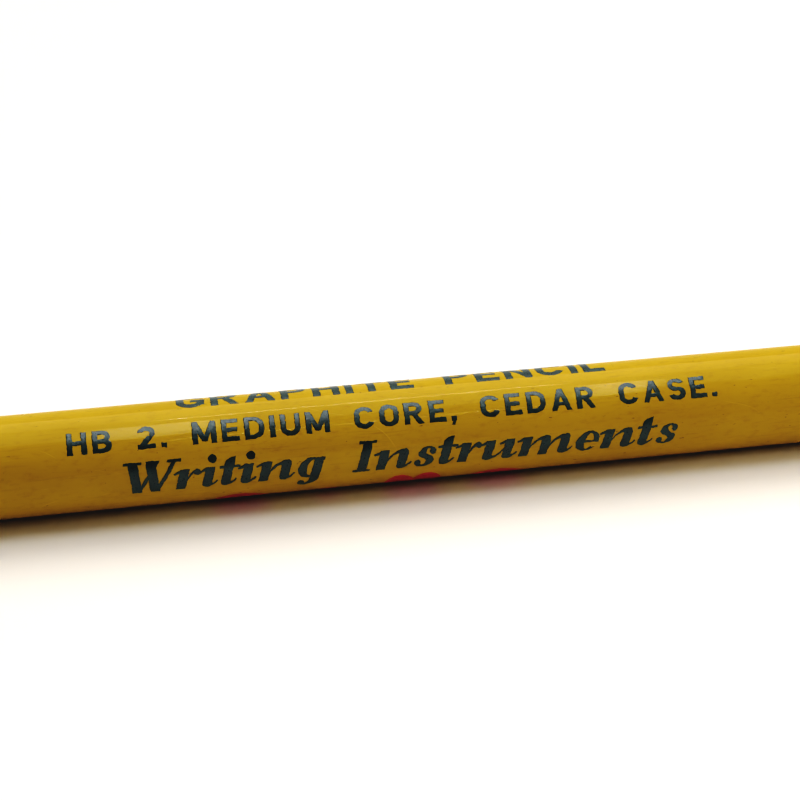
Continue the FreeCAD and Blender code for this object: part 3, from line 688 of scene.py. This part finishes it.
# Inside the tube, the plug's mesh keeps clear of the dimples pressed into the metal.
HELD_RADIUS = FERRULE_RADIUS - 0.44 * MM
edge_round = 1.0 * MM
dome = 0.16 * MM
neck_radius = FERRULE_RADIUS - FERRULE_WALL - 0.03 * MM

plug_profile = [(WOOD_END_X, 0.0), (WOOD_END_X, HELD_RADIUS)]
plug_profile += [(FERRULE_END_X - 1.2 * MM, HELD_RADIUS), (FERRULE_END_X - 0.35 * MM, HELD_RADIUS)]
plug_profile.append((FERRULE_END_X - 0.12 * MM, neck_radius))
plug_profile.append((FERRULE_END_X + 0.03 * MM, neck_radius + 0.02 * MM))
for x in steps(FERRULE_END_X + 0.12 * MM, ERASER_TOP_X - edge_round - dome, 0.11 * MM):
    swollen = min(1.0, (x - FERRULE_END_X) / (0.7 * MM)) ** 0.5
    plug_profile.append((x, neck_radius + (ERASER_RADIUS - neck_radius) * swollen))
for turn in range(10, 91, 10):
    a = math.radians(turn)
    x = ERASER_TOP_X - dome - edge_round * (1 - math.sin(a))
    plug_profile.append((x, ERASER_RADIUS - edge_round * (1 - math.cos(a))))
flat_radius = ERASER_RADIUS - edge_round
for share in (0.93, 0.85, 0.76, 0.67, 0.58, 0.48, 0.38, 0.28, 0.18, 0.09):
    plug_profile.append((ERASER_TOP_X - dome * share**2, flat_radius * share))
plug_profile.append((ERASER_TOP_X, 0.0))


def rubbed_shape(x, angle, radius):
    """The free end's crumbly surface, and the slope that rubbing has worn on its upper side."""
    worn_length = 2.2 * MM
    worn_side = 1.9
    points = on_barrel(x, angle, radius)
    free = np.clip((x - FERRULE_END_X) / (0.6 * MM), 0, 1)
    crumbs = 0.010 * swell(points, 0.5 * MM, 81) + 0.006 * swell(points, 0.22 * MM, 82)
    lumps = 0.02 * swell(points, 3 * MM, 83)
    pits = -0.05 * np.clip(swell(points, 0.7 * MM, 84) - 1.5, 0, None)
    radius = radius * (1 + free * (crumbs + lumps + pits) * MM / ERASER_RADIUS)
    radius = radius - free * 0.03 * MM
    side = np.cos(angle - worn_side) * radius / ERASER_RADIUS
    near_top = np.clip((x - (ERASER_TOP_X - worn_length)) / worn_length, 0, 1)
    slope = 0.25 * MM * np.clip(side + 0.2, 0, None)
    unevenness = 0.02 * MM * (1 + swell(points, 0.8 * MM, 85))
    x = x - near_top * (slope + unevenness)
    return x, radius


plug = turned("pink_eraser", plug_profile, around=180, sharp_angle=60, shape=rubbed_shape)

# Vulcanised rubber with pumice: dusty pink, quite dull, with pale and dark grains and grey smudges.
rubber, tree, shader, place = new_material("pumice_filled_rubber")
colour, _ = speckled(tree, place, linear("#dda79d"), "#cd9187", across=1.6, shows=(0.35, 0.7))
for tint, shows in (("#f0cdc2", (0.6, 0.75)), ("#a86e68", (0.4, 0.28))):
    colour, grains = speckled(
        tree, place, colour, tint, across=0.11, detail=4, roughness=0.75, shows=shows, share=0.5
    )
x = add(tree, "ShaderNodeSeparateXYZ", {0: place})["X"]
top_inputs = {"Value": x, "From Min": ERASER_TOP_X - 1.6 * MM, "From Max": ERASER_TOP_X - 0.1 * MM}
at_top = add(tree, "ShaderNodeMapRange", top_inputs, interpolation_type="SMOOTHSTEP")[0]
smudge_inputs = {"Vector": place, "Scale": per_metre(0.8), "Detail": 5.0, "Roughness": 0.7}
smudge = add(tree, "ShaderNodeTexNoise", smudge_inputs)["Fac"]
dark_inputs = {"Value": smudge, "From Min": 0.42, "From Max": 0.68, "To Max": 0.7}
dark = add(tree, "ShaderNodeMapRange", dark_inputs, interpolation_type="SMOOTHSTEP")[0]
smudged = add(tree, "ShaderNodeMath", {0: at_top, 1: dark}, operation="MULTIPLY")[0]
colour = add(tree, "ShaderNodeMix", {0: smudged, 6: colour, 7: linear("#6a5c5f")}, data_type="RGBA")[2]
normal = relief(tree, (grains, 0.03), (smudge, 0.02))
feed(tree, shader, {"Base Color": colour, "Roughness": 0.82, "Specular IOR Level": 0.3, "Normal": normal})
plug.data.materials.append(rubber)
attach(plug, "root")
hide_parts("eraser")

# ---- the studio ----
# A sheet of matt white card, lit by softboxes overhead and behind until it is pure white, so that only
# the pencil's own shadow shows on it. Narrow strips hung a little lower draw the soft highlights along
# the barrel, and a small warm panel lights it from the front right.

CARD_HALF = 2.5
corners = [(CARD_HALF * x, CARD_HALF * y, 0) for x, y in ((-1, -1), (1, -1), (1, 1), (-1, 1))]
card_mesh = bpy.data.meshes.new("white_card")
card_mesh.from_pydata(corners, [], [(0, 1, 2, 3)])
card = placed("white_card", card_mesh)
paper, tree, shader, _ = new_material("matt_white_card")
feed(tree, shader, {"Base Color": linear("#f5f4f2"), "Roughness": 0.9, "Specular IOR Level": 0.1})
card.data.materials.append(paper)


def softbox(name, low, high, height, radiance, colour):
    """A level light panel that faces down, between two corners in X and Y, at a height over the card."""
    lamp = bpy.data.lights.new(name, "AREA")
    lamp.shape = "RECTANGLE"
    lamp.size = high[0] - low[0]
    lamp.size_y = high[1] - low[1]
    lamp.energy = radiance * math.pi * lamp.size * lamp.size_y
    lamp.color = linear(colour)[:3]
    placed(name, lamp).location = ((low[0] + high[0]) / 2, (low[1] + high[1]) / 2, height)


softbox("overhead_softbox", (-2.0, -0.7), (2.8, 1.62), 4.0, 2.0, "#ffffff")
softbox("back_softbox", (-2.8, 1.8), (3.6, 5.8), 4.1, 3.1, "#fffaf2")
softbox("left_strip", (-0.14, -1.3), (0.14, 0.68), 3.8, 8.0, "#ffffff")
softbox("right_strip", (0.98, -1.3), (1.16, 0.8), 3.8, 9.0, "#ffffff")
softbox("far_strip", (0.02, 1.46), (1.0, 1.56), 3.8, 26.0, "#ffffff")
softbox("near_strip", (0.04, -2.18), (1.04, -2.10), 3.8, 20.0, "#ffffff")
softbox("side_softbox", (0.11, -0.16), (0.21, -0.06), 0.14, 6.0, "#fff6ea")

world = bpy.data.worlds.new("dim_room")
world.use_nodes = True
tree = world.node_tree
ways = add(tree, "ShaderNodeSeparateXYZ", {0: add(tree, "ShaderNodeTexCoord")["Generated"]})
window_inputs = {"Value": ways["Y"], "From Min": 0.7, "From Max": 0.95}
window = add(tree, "ShaderNodeMapRange", window_inputs, interpolation_type="SMOOTHSTEP")[0]
walls = {0: window, 6: linear("#5a5048"), 7: linear("#f0ebe2")}
room = add(tree, "ShaderNodeMix", walls, data_type="RGBA")[2]
seen = add(tree, "ShaderNodeLightPath")["Is Camera Ray"]
backdrop = add(tree, "ShaderNodeMix", {0: seen, 6: room, 7: linear("#ffffff")}, data_type="RGBA")[2]
feed(tree, tree.nodes["Background"], {"Color": backdrop})
bpy.context.scene.world = world

# The camera's own contrast: it deepens the dark tones and takes the card to pure white.
view = bpy.context.scene.view_settings
view.view_transform = "Standard"
view.use_curve_mapping = True
tone = view.curve_mapping.curves[3]
response = [(0.0, 0.005), (0.09, 0.0145), (0.14, 0.036), (0.2, 0.083)]
response += [(0.3, 0.197), (0.45, 0.385), (0.66, 0.63), (0.93, 1.0)]
for i, (light, shown) in enumerate(response):
    if i < 2:
        tone.points[i].location = (light, shown)
    else:
        tone.points.new(light, shown)
view.curve_mapping.update()

# The camera stands low in front of the lettering, a little to its left, and looks down at the barrel.
CAMERA_ELEVATION = math.radians(32.0)
CAMERA_YAW = math.radians(9.7)
CAMERA_DISTANCE = 131.3 * MM
AIM_X = 0.4 * MM
AIM_RISE = 2.3 * MM
lens = bpy.data.cameras.new("camera")
lens.lens = 79.0
lens.sensor_width = 36.0
lens.clip_start = 0.01
lens.clip_end = 20
forward = Vector((
    math.sin(CAMERA_YAW) * math.cos(CAMERA_ELEVATION),
    math.cos(CAMERA_YAW) * math.cos(CAMERA_ELEVATION),
    -math.sin(CAMERA_ELEVATION),
))
right = Vector((math.cos(CAMERA_YAW), -math.sin(CAMERA_YAW), 0))
camera_up = right.cross(forward)
aim = Vector((AIM_X, 0, RADIUS)) + camera_up * AIM_RISE
facing = Matrix((right, camera_up, -forward)).transposed()
camera = placed("camera", lens)
camera.matrix_world = Matrix.Translation(aim - forward * CAMERA_DISTANCE) @ facing.to_4x4()
bpy.context.scene.camera = camera
